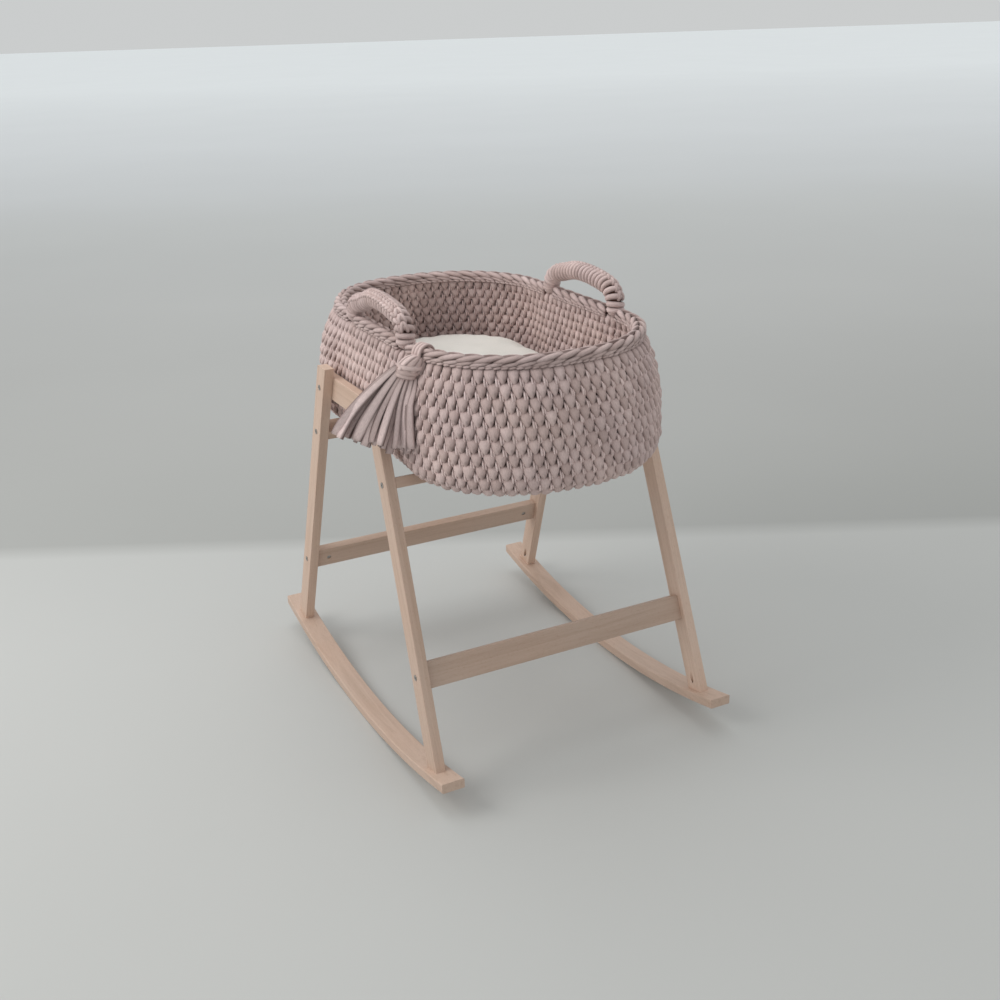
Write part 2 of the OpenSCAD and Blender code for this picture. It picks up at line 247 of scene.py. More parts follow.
def outline(t, d):
    """Point and outward normal at share t of the way round the basket's outline, moved out by d.

    It starts at the middle of the +X side and goes anticlockwise.
    """
    t, d = np.broadcast_arrays(np.asarray(t, float), np.asarray(d, float))
    a = np.maximum(HALF_W + d, 2.0)
    b = HALF_L + d
    r = np.clip(CORNER_R + d, 1.0, None)
    r = np.minimum(r, a)
    arc = r * math.pi / 2
    quarter_length = (a - r) + arc + (b - r)
    q = np.mod(t, 1.0) * 4
    quarter = np.floor(q).astype(int) % 4
    s = (q - np.floor(q)) * quarter_length
    s = np.where(quarter % 2 == 1, quarter_length - s, s)
    angle = np.clip((s - (b - r)) / r, 0, math.pi / 2)
    x = np.where(s > b - r + arc, (a - r) - (s - (b - r) - arc), (a - r) + r * np.cos(angle))
    y = np.minimum(s, b - r) + r * np.sin(angle)
    flip_x = np.where((quarter == 1) | (quarter == 2), -1, 1)
    flip_y = np.where(quarter >= 2, -1, 1)
    return x * flip_x, y * flip_y + BASKET_Y, np.cos(angle) * flip_x, np.sin(angle) * flip_y


def outline_length(d):
    r = max(CORNER_R + d, 1.0)
    return 2 * math.pi * r + 4 * (HALF_W + d - r) + 4 * (HALF_L + d - r)


def settle(points):
    """The basket's give: its rim is drawn in behind the left handle, and its ends sag."""
    x, y, z = points[..., 0], points[..., 1], points[..., 2]
    off_x = (x - DRAW_AT[0]) / DRAW_SPREAD[0]
    off_y = (y - DRAW_AT[1]) / DRAW_SPREAD[1]
    height = np.clip((z - BELLY_Z) / (RIM_TOP - BELLY_Z), 0, 1)
    pull = DRAW_IN * np.exp(-(off_x**2) - off_y**2) * height**4
    overhang = eased((np.abs(y - BASKET_Y) - SAG_FROM) / SAG_OVER)
    low = np.clip(1 - (z - BASKET_Z) / (RIM_BOTTOM - BASKET_Z), 0, 1)
    x = x + DRAW_WAY[0] * pull
    y = y + DRAW_WAY[1] * pull
    return np.stack([x, y, z - SAG * overhang * low], -1)


def swelled(y):
    """How fully the wall swells at y: not between the cross rails, and all of it past them."""
    return eased((np.abs(y - BASKET_Y) - SWELL_FROM) / SWELL_OVER)


class Skin:
    """The outer or inner face of the basket's wall and base, measured down from the rim."""

    def __init__(self, inward):
        z = np.linspace(RIM_BOTTOM, BELLY_Z, 24)
        rise = (z - BELLY_Z) / (RIM_BOTTOM - BELLY_Z)
        d = BELLY * (1 - rise**2) - inward
        a = np.linspace(0, math.pi / 2, 40)[1:]
        power = 2 / (2 if inward else HEEL_FULLNESS)
        heel_d = BELLY - inward - (HEEL - inward) * (1 - np.cos(a) ** power)
        heel_z = BELLY_Z - (BELLY_Z - BASKET_Z - inward) * np.sin(a) ** power
        almost_centre = -HALF_W + 4
        self.d = np.concatenate([d, heel_d, [almost_centre]])
        self.z = np.concatenate([z, heel_z, [heel_z[-1]]])
        self.swell = np.concatenate([1 - rise**3, np.cos(a) ** power, [0]]) * SWELL
        step = np.hypot(np.diff(self.d), np.diff(self.z))
        self.s = np.concatenate([[0], step.cumsum()])
        self.heel_end = self.s[-2]
        self.inside = inward > 0
        fine = np.linspace(0, self.s[-1], 600)
        fd, fz = np.interp(fine, self.s, self.d), np.interp(fine, self.s, self.z)
        td, tz = np.gradient(fd, fine), np.gradient(fz, fine)
        flip = -1 if self.inside else 1
        self.fine = fine
        self.nd, self.nz = -tz * flip, td * flip

    def place(self, t, s, w):
        """Points and outward directions at share t round, s down the skin and w proud of it."""
        nd, nz = np.interp(s, self.fine, self.nd), np.interp(s, self.fine, self.nz)
        d = np.interp(s, self.s, self.d) + w * nd
        z = np.interp(s, self.s, self.z) + w * nz - np.minimum(s, 0)
        _, y, _, _ = outline(t, 0.0)
        d = d + swelled(y) * np.interp(s, self.s, self.swell)
        x, y, nx, ny = outline(t, d)
        return settle(np.stack([x, y, z], -1)), unit(np.stack([nx * nd, ny * nd, nz], -1))

    def width(self, s):
        return outline_length(float(np.interp(s, self.s, self.d)))


# ---------------------------------------------------------------- stitches

# The three legs of a stitch, as stations of
# [along the row / stitch width, up / row height, proud, half width, half depth].
FAT_LEG = np.array(
    [
        [0.05, -0.74, -10.5, 1.6, 2.4],
        [0.03, -0.58, -5.8, 3.4, 3.8],
        [0.00, -0.38, -3.0, 6.2, 5.0],
        [-0.04, -0.14, -2.5, 8.9, 5.2],
        [-0.06, 0.10, -3.8, 10.9, 4.7],
        [-0.06, 0.32, -6.0, 11.7, 4.2],
        [-0.06, 0.52, -9.4, 10.4, 3.3],
    ]
)
THIN_LEG = np.array(
    [
        [0.55, -0.98, -9.5, 1.4, 2.0],
        [0.54, -0.82, -4.8, 1.9, 2.7],
        [0.51, -0.58, -2.4, 2.2, 3.2],
        [0.48, -0.32, -3.4, 2.3, 3.2],
        [0.45, -0.06, -8.2, 2.2, 2.8],
    ]
)
HIND_LEG = np.array(
    [
        [0.75, -0.96, -10.0, 1.3, 1.9],
        [0.74, -0.80, -5.8, 1.7, 2.5],
        [0.71, -0.56, -3.6, 2.0, 2.9],
        [0.67, -0.32, -5.0, 2.0, 2.8],
        [0.63, -0.10, -9.2, 1.9, 2.4],
    ]
)
# How far each kind of leg is shifted from the lighter yarn colour to the darker; below 0 is lighter
# still, which on the thin legs is a painted highlight.
FAT_TONE = 0.25
THIN_HIGHLIGHT = -1.1
# Painted shade round the hole beside a stitch: where the hole lies, seen from that stitch and from the
# one under it, with how far and how strongly it darkens the yarn round it.
HOLE_SHADES = ((0.25, -0.52, 0.11, 0.18, 0.98), (0.02, 0.52, 0.17, 0.12, 0.92))
# The chain that edges the base, lying along the row.
EDGE_LEG = np.array(
    [
        [-0.62, -0.10, -8.5, 2.0, 2.2],
        [-0.30, -0.05, -3.2, 3.4, 3.0],
        [0.05, 0.02, -1.8, 4.0, 3.2],
        [0.35, 0.08, -3.0, 3.5, 3.0],
        [0.62, 0.12, -8.5, 2.0, 2.2],
    ]
)


def stitch_row(skin, legs, s, height, count, shift, sides):
    """The legs of one row's stitches."""
    made = []
    width = skin.width(s) / count
    turn = -1 if skin.inside else 1
    centre = (np.arange(count) + shift) / count
    wobble = rng.normal(0, 1, (3, count))
    for leg in legs:
        u, v, proud, half_w, half_d = leg.T
        swell = 1 + 0.05 * wobble[2][:, None]
        t = centre[:, None] + turn * (u * width + 0.5 * wobble[0][:, None]) / skin.width(s)
        down = s - v * height + 0.5 * wobble[1][:, None] + 0 * t
        w = np.broadcast_to(proud, t.shape) + 0.35 * wobble[2][:, None]
        points, out = skin.place(t, down, w)
        scale = min(width / STITCH_W, 1.15)
        tube = tubes(points, out, half_w * swell * scale, half_d * swell, sides)
        # Painted shade: the yarn darkens where it dives under the work, round the holes and on its
        # flanks.
        crest = np.clip((w + 11.5) / 3.5, 0, 1)[..., None]
        u_ring = u[:, None] + half_w[:, None] * np.cos(full_turn(sides)) / width
        for hole_u, hole_v, size_u, size_v, strength in HOLE_SHADES:
            near = ((u_ring - hole_u) / size_u) ** 2 + ((v[:, None] - hole_v) / size_v) ** 2
            crest = crest * (1 - strength * np.exp(-near))
        tube["shade"] = (crest * crevice_shade(sides, 0.38)).ravel()
        # The thin legs' tone carries a painted highlight.
        tube["tone"] += FAT_TONE if leg is FAT_LEG else THIN_HIGHLIGHT
        made.append(tube)
    return made


def stitched(skin, first, last, sides):
    """All the stitches of the rows from first to last, over the wall and then the base."""
    parts = []
    wall_h = skin.heel_end / WALL_ROWS
    base_h = (skin.s[-1] - skin.heel_end) / BASE_ROWS
    turn = -1 if skin.inside else 1
    legs = (FAT_LEG, THIN_LEG, HIND_LEG)
    shift = 0.0
    for row in range(first, last):
        if row < WALL_ROWS:
            s, height, count = (row + 0.5) * wall_h, wall_h, ROUND_STITCHES
        else:
            s, height = skin.heel_end + (row - WALL_ROWS + 0.5) * base_h, base_h
            count = max(round(skin.width(s) / STITCH_W), 16)
        shift += 0.28 + rng.uniform(-0.05, 0.05)
        parts += stitch_row(skin, legs, s, height, count, turn * shift, sides)
    return parts


def sheet_of(skin, start, end, rings, around):
    """A plain closed band under the stitches, painted wholly in shade so the holes look dark."""
    t, s = np.meshgrid(np.arange(around) / around, np.linspace(start, end, rings))
    outer, _ = skin.place(t, s, SHEET_DEPTH)
    inner, _ = skin.place(t, s, SHEET_DEPTH - SHEET_T)
    grid = np.concatenate([outer, inner[::-1]])
    rows = len(grid)
    i, j = np.meshgrid(np.arange(rows), np.arange(around), indexing="ij")
    i2, j2 = (i + 1) % rows, (j + 1) % around
    quads = np.stack([i * around + j, i2 * around + j, i2 * around + j2, i * around + j2], -1)
    quads = quads.reshape(-1, 4)
    uv = np.stack([quads % around, quads // around], -1) * 10.0
    total = len(grid.reshape(-1, 3))
    return {
        "vertices": grid.reshape(-1, 3),
        "quads": quads,
        "uv": uv,
        "tone": np.full(total, 0.5),
        "shade": np.zeros(total),
    }


# ---------------------------------------------------------------- materials


def new_material(name):
    material = bpy.data.materials.new(name)
    material.use_nodes = True
    tree = material.node_tree
    return material, tree, tree.nodes["Principled BSDF"]


def node(tree, kind, **settings):
    made = tree.nodes.new(kind)
    for key, value in settings.items():
        if key in made.inputs:
            made.inputs[key].default_value = value
        else:
            setattr(made, key, value)
    return made


def mix_colours(tree, kind, factor, first, second):
    """A colour mix; factor, first and second are sockets or constants."""
    made = tree.nodes.new("ShaderNodeMix")
    made.data_type = "RGBA"
    made.blend_type = kind
    for socket, value in ((made.inputs[0], factor), (made.inputs[6], first), (made.inputs[7], second)):
        if isinstance(value, bpy.types.NodeSocket):
            tree.links.new(value, socket)
        else:
            socket.default_value = value
    return made.outputs[2]


def noise(tree, source, scale, detail=2.0, **settings):
    """Noise over the coordinates that come from source."""
    made = node(tree, "ShaderNodeTexNoise", Scale=scale, Detail=detail, **settings)
    tree.links.new(source, made.inputs[0])
    return made.outputs[0]


def add_bump(tree, shader, height, strength, distance):
    bump = node(tree, "ShaderNodeBump", Strength=strength, Distance=distance)
    tree.links.new(height, bump.inputs["Height"])
    tree.links.new(bump.outputs[0], shader.inputs["Normal"])


def ramp(tree, source, stops):
    made = tree.nodes.new("ShaderNodeValToRGB")
    elements = made.color_ramp.elements
    while len(elements) < len(stops):
        elements.new(0.5)
    for element, (position, colour) in zip(elements, stops):
        element.position = position
        element.color = (*colour, 1.0)
    tree.links.new(source, made.inputs[0])
    return made.outputs[0]


def yarn_material(name, light, dark, deep):
    """Thick jersey yarn: fine ribs along it, fuzz, and painted shade, darker where it dives into the
    work.
    """
    material, tree, shader = new_material(name)
    link = tree.links.new
    uv = node(tree, "ShaderNodeUVMap", uv_map="yarn")
    stretch = node(tree, "ShaderNodeMapping")
    stretch.inputs["Scale"].default_value = (1.0, 0.16, 1.0)
    link(uv.outputs[0], stretch.inputs[0])
    place = node(tree, "ShaderNodeTexCoord").outputs["Object"]
    ribs = noise(tree, stretch.outputs[0], 900.0, 3.0, Roughness=0.6)
    fuzz = noise(tree, place, 1500.0, 4.0, Roughness=0.7)
    cloud = noise(tree, place, 9.0)
    tone = node(tree, "ShaderNodeAttribute", attribute_name="tone")
    shade = node(tree, "ShaderNodeAttribute", attribute_name="shade")

    body = mix_colours(tree, "MIX", tone.outputs["Fac"], (*light, 1), (*dark, 1))
    body.node.clamp_factor = False
    streak = ramp(tree, ribs, [(0.32, (0.80, 0.79, 0.79)), (0.62, (1.05, 1.05, 1.05))])
    body = mix_colours(tree, "MULTIPLY", 0.75, body, streak)
    patch = ramp(tree, cloud, [(0.35, (0.93, 0.93, 0.94)), (0.65, (1.04, 1.04, 1.03))])
    body = mix_colours(tree, "MULTIPLY", 1.0, body, patch)
    # Painted shade: the shade attribute blends towards the shade colour in holes, crevices and dark
    # cores.
    body = mix_colours(tree, "MIX", shade.outputs["Fac"], (*deep, 1), body)
    link(body, shader.inputs["Base Color"])

    bumps = node(tree, "ShaderNodeMath", operation="ADD")
    link(ribs, bumps.inputs[0])
    link(fuzz, bumps.inputs[1])
    add_bump(tree, shader, bumps.outputs[0], 0.5, 0.0012)
    shader.inputs["Roughness"].default_value = 0.86
    shader.inputs["Specular IOR Level"].default_value = 0.22
    shader.inputs["Sheen Weight"].default_value = 0.18
    shader.inputs["Sheen Roughness"].default_value = 0.45
    shader.inputs["Sheen Tint"].default_value = (0.95, 0.88, 0.86, 1)
    return material


def timber_material(name, turn, seed, light, dark):
    """Planed beech with its grain along local X after the turn: fine pores, flecks and soft bands."""
    material, tree, shader = new_material(name)
    link = tree.links.new
    place = node(tree, "ShaderNodeTexCoord")
    align = node(tree, "ShaderNodeMapping", vector_type="POINT")
    align.inputs["Rotation"].default_value = turn
    align.inputs["Location"].default_value = (seed * 1.7, seed * 0.9, seed * 2.3)
    link(place.outputs["Object"], align.inputs[0])

    def stretched(along, across):
        made = node(tree, "ShaderNodeMapping")
        made.inputs["Scale"].default_value = (along, across, across)
        link(align.outputs[0], made.inputs[0])
        return made.outputs[0]

    bands = noise(tree, stretched(1.6, 62.0), 1.0, 3.0, Roughness=0.55, Distortion=0.6)
    pores = noise(tree, stretched(26.0, 900.0), 1.0, 4.0, Roughness=0.7)
    flecks = noise(tree, stretched(150.0, 620.0), 1.0, 1.0)
    drift = noise(tree, align.outputs[0], 5.0)

    body = ramp(tree, bands, [(0.30, dark), (0.52, light), (0.74, dark)])
    line = ramp(tree, pores, [(0.30, (0.86, 0.84, 0.82)), (0.50, (1.0, 1.0, 1.0))])
    body = mix_colours(tree, "MULTIPLY", 0.55, body, line)
    fleck = ramp(tree, flecks, [(0.60, (1.0, 1.0, 1.0)), (0.70, (0.88, 0.82, 0.78))])
    body = mix_colours(tree, "MULTIPLY", 0.6, body, fleck)
    warm = ramp(tree, drift, [(0.35, (1.0, 0.965, 0.94)), (0.65, (1.0, 1.0, 1.0))])
    body = mix_colours(tree, "MULTIPLY", 1.0, body, warm)
    link(body, shader.inputs["Base Color"])
    add_bump(tree, shader, pores, 0.12, 0.0004)
    shader.inputs["Roughness"].default_value = 0.52
    shader.inputs["Specular IOR Level"].default_value = 0.35
    return material


def steel_material():
    material, tree, shader = new_material("zinc")
    link = tree.links.new
    place = node(tree, "ShaderNodeTexCoord")
    grain = noise(tree, place.outputs["Object"], 900.0, 3.0)
    colour = ramp(tree, grain, [(0.3, (0.36, 0.35, 0.34)), (0.7, (0.52, 0.51, 0.49))])
    link(colour, shader.inputs["Base Color"])
    rough = node(tree, "ShaderNodeMapRange")
    rough.inputs["To Min"].default_value = 0.32
    rough.inputs["To Max"].default_value = 0.55
    link(grain, rough.inputs[0])
    link(rough.outputs[0], shader.inputs["Roughness"])
    add_bump(tree, shader, grain, 0.15, 0.0002)
    shader.inputs["Metallic"].default_value = 1.0
    return material


def woven_material(name, light, dark, pitch):
    """Plain-woven cotton, by crossed waves in the object's own coordinates."""
    material, tree, shader = new_material(name)
    link = tree.links.new
    place = node(tree, "ShaderNodeTexCoord")
    crossed = node(tree, "ShaderNodeMath", operation="MULTIPLY")
    height = crossed.outputs[0]
    for direction, crossing in zip(("X", "Y"), crossed.inputs):
        thread = node(tree, "ShaderNodeTexWave", bands_direction=direction, Scale=pitch)
        thread.inputs["Distortion"].default_value = 1.2
        thread.inputs["Detail"].default_value = 2.0
        link(place.outputs["Object"], thread.inputs[0])
        link(thread.outputs[1], crossing)
    cloud = noise(tree, place.outputs["Object"], 14.0, 4.0)
    body = ramp(tree, height, [(0.0, dark), (0.6, light)])
    patch = ramp(tree, cloud, [(0.35, (0.955, 0.955, 0.95)), (0.65, (1.02, 1.02, 1.02))])
    body = mix_colours(tree, "MULTIPLY", 1.0, body, patch)
    link(body, shader.inputs["Base Color"])
    add_bump(tree, shader, height, 0.25, 0.0004)
    shader.inputs["Roughness"].default_value = 0.9
    shader.inputs["Sheen Weight"].default_value = 0.12
    return material


# Each yarn has a light tone, a dark tone and the colour of its painted shade.
YARN_LIGHT = (0.810, 0.640, 0.612)
YARN_DARK = (0.640, 0.490, 0.462)
YARN_SHADE = (0.085, 0.042, 0.034)
outer_yarn = yarn_material("jersey_yarn", YARN_LIGHT, YARN_DARK, YARN_SHADE)
rope_material = yarn_material(
    "cotton_rope", (0.74, 0.70, 0.60), (0.66, 0.61, 0.51), (0.30, 0.27, 0.22)
)

# ---------------------------------------------------------------- timber

WOOD_LIGHT = (0.640, 0.482, 0.390)
WOOD_DARK = (0.560, 0.410, 0.322)
SPLAY = math.radians(20.6)
QUARTER = math.pi / 2


def dress(name, material):
    """Gives a CAD node's own mesh a material."""
    mesh = nodes[name].data
    mesh.materials.clear()
    mesh.materials.append(material)


# Each board's turn, which brings its own length onto X, and how light it is.
BOARDS = {
    "rocker_left": ((0, 0, -QUARTER), 0.98),
    "rocker_right": ((0, 0, -QUARTER), 0.96),
    "leg_front_left": ((SPLAY, QUARTER, 0), 0.97),
    "leg_back_left": ((-SPLAY, QUARTER, 0), 1.06),
    "leg_front_right": ((SPLAY, QUARTER, 0), 1.12),
    "leg_back_right": ((-SPLAY, QUARTER, 0), 1.08),
    "cross_rail_left": ((0, 0, -QUARTER), 1.02),
    "cross_rail_right": ((0, 0, -QUARTER), 1.0),
    "stretcher_front": ((0, 0, 0), 0.86),
    "stretcher_back": ((0, 0, 0), 0.94),
    "bearer_front": ((0, 0, 0), 0.94),
    "bearer_back": ((0, 0, 0), 0.92),
    "foot_dowels": ((0, QUARTER, 0), 1.0),
}
for index, (name, (turn, lightness)) in enumerate(BOARDS.items()):
    light = tuple(channel * lightness for channel in WOOD_LIGHT)
    dark = tuple(channel * lightness for channel in WOOD_DARK)
    dress(name, timber_material("beech_" + name, turn, index + 1, light, dark))

steel = steel_material()
for name in nodes:
    if name.endswith(("_bolts", "_nuts", "_screws")):
        dress(name, steel)

# ---------------------------------------------------------------- basket

outer_skin = Skin(0.0)
inner_skin = Skin(WALL_T)
edge_at = outer_skin.heel_end - 2
sheet_seam = outer_skin.heel_end + 6

wall = piece(
    "crochet_wall",
    stitched(outer_skin, 0, WALL_ROWS, 8)
    + stitched(inner_skin, 0, WALL_ROWS, 8)
    + stitch_row(outer_skin, (EDGE_LEG,), edge_at, EDGE_ROW_H, EDGE_STITCHES, 0.0, 8)
    + [sheet_of(outer_skin, -4.0, sheet_seam, 40, 180)],
    outer_yarn,
    "basket",
)
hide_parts("basket_wall")

base = piece(
    "crochet_base",
    stitched(outer_skin, WALL_ROWS, WALL_ROWS + BASE_ROWS, 6)
    + stitched(inner_skin, WALL_ROWS, WALL_ROWS + BASE_ROWS, 6)
    + [sheet_of(outer_skin, sheet_seam, outer_skin.s[-1], 30, 120)],
    outer_yarn,
    "basket",
)
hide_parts("basket_base")

# The braid lies in four spans between the roots of the handles, as shares of the way round:
# under the right handle, under the left one, round the back and round the front.
SADDLE = GRIP_R + 0.6
rim_length = outline_length(RIM_D)
root_front = HANDLE_Y - BASKET_Y - HANDLE_SPAN / 2
root_back = HANDLE_Y - BASKET_Y + HANDLE_SPAN / 2
under_low = (root_front + SADDLE) / rim_length
under_high = (root_back - SADDLE) / rim_length
past_back = (root_back + SADDLE) / rim_length
past_front = (root_front - SADDLE) / rim_length
spans = (
    (under_low, under_high),
    (0.5 - under_high, 0.5 - under_low),
    (past_back, 0.5 - past_back),
    (0.5 - past_front, 1 + past_front),
)


def rim_place(t, c, z):
    x, y, nx, ny = outline(t, RIM_D + c)
    return settle(np.stack([x, y, RIM_TOP + z + 0 * x], -1)), nx, ny


def rim_lobes(start, end, pitch, path, sides):
    """Slanting lobes evenly spaced along one span of the rim.

    path has stations of [along / pitch, outward, height, half width, half depth, lean outwards].
    """
    count = max(round((end - start) * rim_length / pitch), 1)
    step = (end - start) / count
    u, c, z, half_w, half_d, lean = path.T
    centre = start + (np.arange(count) + 0.5) * step
    jitter = rng.normal(0, 1, (2, count))[:, :, None]
    t = centre[:, None] + u * step + 0.4 * jitter[0] / rim_length
    t = np.clip(t, start, end)
    c = np.broadcast_to(c, t.shape) + 0.3 * jitter[1]
    z = np.broadcast_to(z, t.shape)
    points, nx, ny = rim_place(t, c, z)
    lean = np.broadcast_to(lean, t.shape)
    out = unit(np.stack([nx * lean, ny * lean, 1 - np.abs(lean)], -1))
    tube = tubes(points, out, np.broadcast_to(half_w, t.shape), half_d, sides)
    # Painted shade: the lobes darken towards their thin ends and on their flanks.
    crest = np.clip((np.broadcast_to(half_w, t.shape) - 0.8) / half_w.max(), 0, 1) ** 0.5
    tube["shade"] = (crest[..., None] * crevice_shade(sides, 0.75)).ravel()
    return tube


# A chain of long flat lobes on top, a slimmer one under it, and a line of beads.
CHAIN = np.array(
    [
        [-0.82, 8.2, -12.6, 2.4, 2.6, 0.8],
        [-0.60, 9.2, -10.6, 4.0, 3.8, 0.75],
        [-0.30, 8.8, -8.0, 5.4, 4.6, 0.65],
        [0.04, 7.2, -5.8, 5.9, 4.9, 0.5],
        [0.36, 4.8, -4.6, 5.5, 4.5, 0.35],
        [0.62, 2.4, -5.2, 4.2, 3.8, 0.2],
        [0.84, 0.6, -7.8, 2.6, 2.6, 0.1],
    ]
)
UNDER_CHAIN = np.array(
    [
        [-0.74, 8.0, -18.6, 1.8, 2.0, 0.9],
        [-0.45, 9.9, -16.8, 3.2, 3.0, 0.9],
        [-0.05, 10.5, -14.8, 3.9, 3.3, 0.9],
        [0.35, 9.9, -12.8, 3.4, 3.0, 0.9],
        [0.72, 7.6, -11.0, 2.0, 2.2, 0.9],
    ]
)
BEADS = np.array(
    [
        [-0.60, 8.0, -21.6, 1.8, 1.8, 0.9],
        [-0.25, 10.4, -20.8, 3.0, 2.9, 0.9],
        [0.20, 10.6, -19.6, 3.1, 2.9, 0.9],
        [0.62, 8.2, -18.8, 1.8, 1.8, 0.9],
    ]
)
# Turns a path over to the inner side of the rim.
INSIDE_OUT = np.array([1, -1, 1, 1, 1, -1])
# Each kind of lobe, with its pitch along the rim and how many sides its tubes have.
BRAID = ((CHAIN, 34.0, 8), (UNDER_CHAIN, 27.0, 8), (BEADS, 13.0, 6))

rim_parts = []
for start, end in spans:
    for side in (1, INSIDE_OUT):
        for path, pitch, sides in BRAID:
            rim_parts.append(rim_lobes(start, end, pitch, path * side, sides))
    share = np.linspace(start, end, max(int((end - start) * rim_length / 8), 6))[None]
    points, _, _ = rim_place(share, 0.0, -12.0)
    # A core in painted shade fills the braid's middle.
    rim_parts.append(shaded_core(points, np.broadcast_to(UPWARD, points.shape), 7.5, 6.5))
rim = piece("crochet_rim", rim_parts, outer_yarn, "basket")
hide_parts("basket_rim")

# ---------------------------------------------------------------- handles

crown_r = ((HANDLE_SPAN / 2 - SHOULDER_R) ** 2 + HANDLE_RISE**2 - SHOULDER_R**2) / (
    2 * (HANDLE_RISE - SHOULDER_R)
)
crown_half = math.degrees(math.asin((HANDLE_SPAN / 2 - SHOULDER_R) / (crown_r - SHOULDER_R)))


def arch(share, slump=0.0):
    """Points along a handle's arch and its outward normals, in the handle's plane.

    The soft arch's back shoulder sits lower than its front one by slump.
    """
    shoulder = math.radians(90 - crown_half) * SHOULDER_R
    crown = math.radians(2 * crown_half) * crown_r
    total = 2 * shoulder + crown
    s = np.asarray(share) * total
    angle = np.where(
        s < shoulder,
        np.degrees(s / SHOULDER_R),
        np.where(
            s < shoulder + crown,
            90 - crown_half + np.degrees((s - shoulder) / crown_r),
            90 + crown_half + np.degrees((s - shoulder - crown) / SHOULDER_R),
        ),
    )
    on_crown = np.abs(angle - 90) <= crown_half
    a = np.radians(angle)
    flat = HANDLE_SPAN / 2 - SHOULDER_R
    along = np.where(
        on_crown, crown_r * np.cos(a), np.sign(90 - angle) * flat + SHOULDER_R * np.cos(a)
    )
    up = np.where(on_crown, HANDLE_RISE - crown_r + crown_r * np.sin(a), SHOULDER_R * np.sin(a))
    give = slump * np.exp(-(((np.asarray(share) - 0.2) / 0.17) ** 2))
    return along - 0.6 * give, up - give, np.cos(a), np.sin(a), total


# The sleeve's yarn: its spacing along the arch, and the radius of its rings there and at the
# roots.
RING_PITCH = 12.4
RING_R = GRIP_R - 5.2
ROOT_R = GRIP_R - 4.5
# How far round the sleeve each line of slanting lobes lies, in degrees, and which way it slants.
SLEEVE_CHAINS = ((35, 1), (8, -1), (62, -1))
# The rope's strands: their radius, which is also how far they lie from its middle, and the
# length in which they go round once.
STRAND_R = 3.9
ROPE_LAY = 60.0


def handle(side, body, slump):
    """A crocheted sleeve, which is yarn wound round the arch under chains, and its rope."""
    total = arch(0.0)[4]
    rings = round(total / RING_PITCH)
    share = (np.arange(rings) + 0.5) / rings
    along, up, ny, nz, _ = arch(share, slump)
    radius = np.full(rings, RING_R)
    roots = np.radians([18, 42, 62])
    for end in (0.0, 1.0):
        e_along, _, e_ny, e_nz, _ = arch(end)
        along = np.append(along, np.full(len(roots), e_along))
        up = np.append(up, -ROOT_R * np.sin(roots))
        ny = np.append(ny, np.full(len(roots), e_ny))
        nz = np.append(nz, np.full(len(roots), e_nz))
        radius = np.append(radius, ROOT_R * np.cos(roots) - 0.5)
    count = len(along)
    centre = np.stack([np.full(count, side * HANDLE_X), HANDLE_Y + along, RIM_TOP + up], -1)
    normal = np.stack([np.zeros(count), ny, nz], -1)
    across = np.broadcast_to(ACROSS, centre.shape)
    tangent = np.cross(across, normal)
    phi = full_turn(20)
    radius = radius * (1 + rng.normal(0, 0.012, count))
    tilt = 2.4 * (np.arange(count) < rings)
    ring = (
        centre[:, None]
        + radius[:, None, None]
        * (
            np.cos(phi)[:, None] * normal[:, None]
            + np.sin(phi)[:, None] * across[:, None]
        )
        + (tilt[:, None] * np.sin(phi + 0.6))[..., None] * tangent[:, None]
    )
    out = unit(ring - centre[:, None])
    parts = [tubes(ring, out, 5.95, 5.8, 8, closed=True)]

    dense = np.linspace(0, 1, 60)[None]
    d_along, d_up, d_ny, d_nz, _ = arch(dense, slump)
    flat = np.stack([side * HANDLE_X + 0 * d_along, HANDLE_Y + d_along, RIM_TOP + d_up], -1)
    up_way = np.stack([0 * d_ny, d_ny, d_nz], -1)
    # A core in painted shade fills the sleeve's middle.
    parts.append(shaded_core(flat, up_way, 11.5, 11.5))

    pitch = 1.0 / rings
    for turn, slant in SLEEVE_CHAINS:
        steps = np.linspace(-0.75, 0.75, 6)
        share = (np.arange(1, rings - 1)[:, None] + 0.5 + steps * 0.8) * pitch
        c_along, c_up, c_ny, c_nz, _ = arch(share, slump)
        angle = math.radians(turn) + slant * steps * 0.26
        reach = GRIP_R - 1.6 - 3.2 * np.abs(steps / 0.75) ** 3
        spot = np.stack(
            [
                side * (HANDLE_X + reach * np.sin(angle)) + 0 * c_along,
                HANDLE_Y + c_along + reach * np.cos(angle) * c_ny,
                RIM_TOP + c_up + reach * np.cos(angle) * c_nz,
            ],
            -1,
        )
        facing = np.stack(
            [side * np.sin(angle) + 0 * c_ny, np.cos(angle) * c_ny, np.cos(angle) * c_nz], -1
        )
        half = 4.5 * (1 - 0.35 * np.abs(steps / 0.75) ** 2)
        parts.append(tubes(spot, facing, half[None], half[None] * 0.95, 6))
    made = piece("wound_" + body, parts, outer_yarn, body)
    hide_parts(body + "_sleeve")

    # Three strands twist round each other inside.
    lay = 2 * math.pi * total / ROPE_LAY
    strands = []
    for strand in range(3):
        angle = dense * lay + strand * 2 * math.pi / 3
        centre = flat + STRAND_R * np.cos(angle)[..., None] * ACROSS
        centre = centre + STRAND_R * np.sin(angle)[..., None] * up_way
        strands.append(tubes(centre, up_way, STRAND_R, STRAND_R, 10))
    rope = piece("rope_in_" + body, strands, rope_material, body)
    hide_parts(body + "_rope")


handle(-1, "handle_left", 13.0)
handle(1, "handle_right", 7.0)

# ---------------------------------------------------------------- tassel

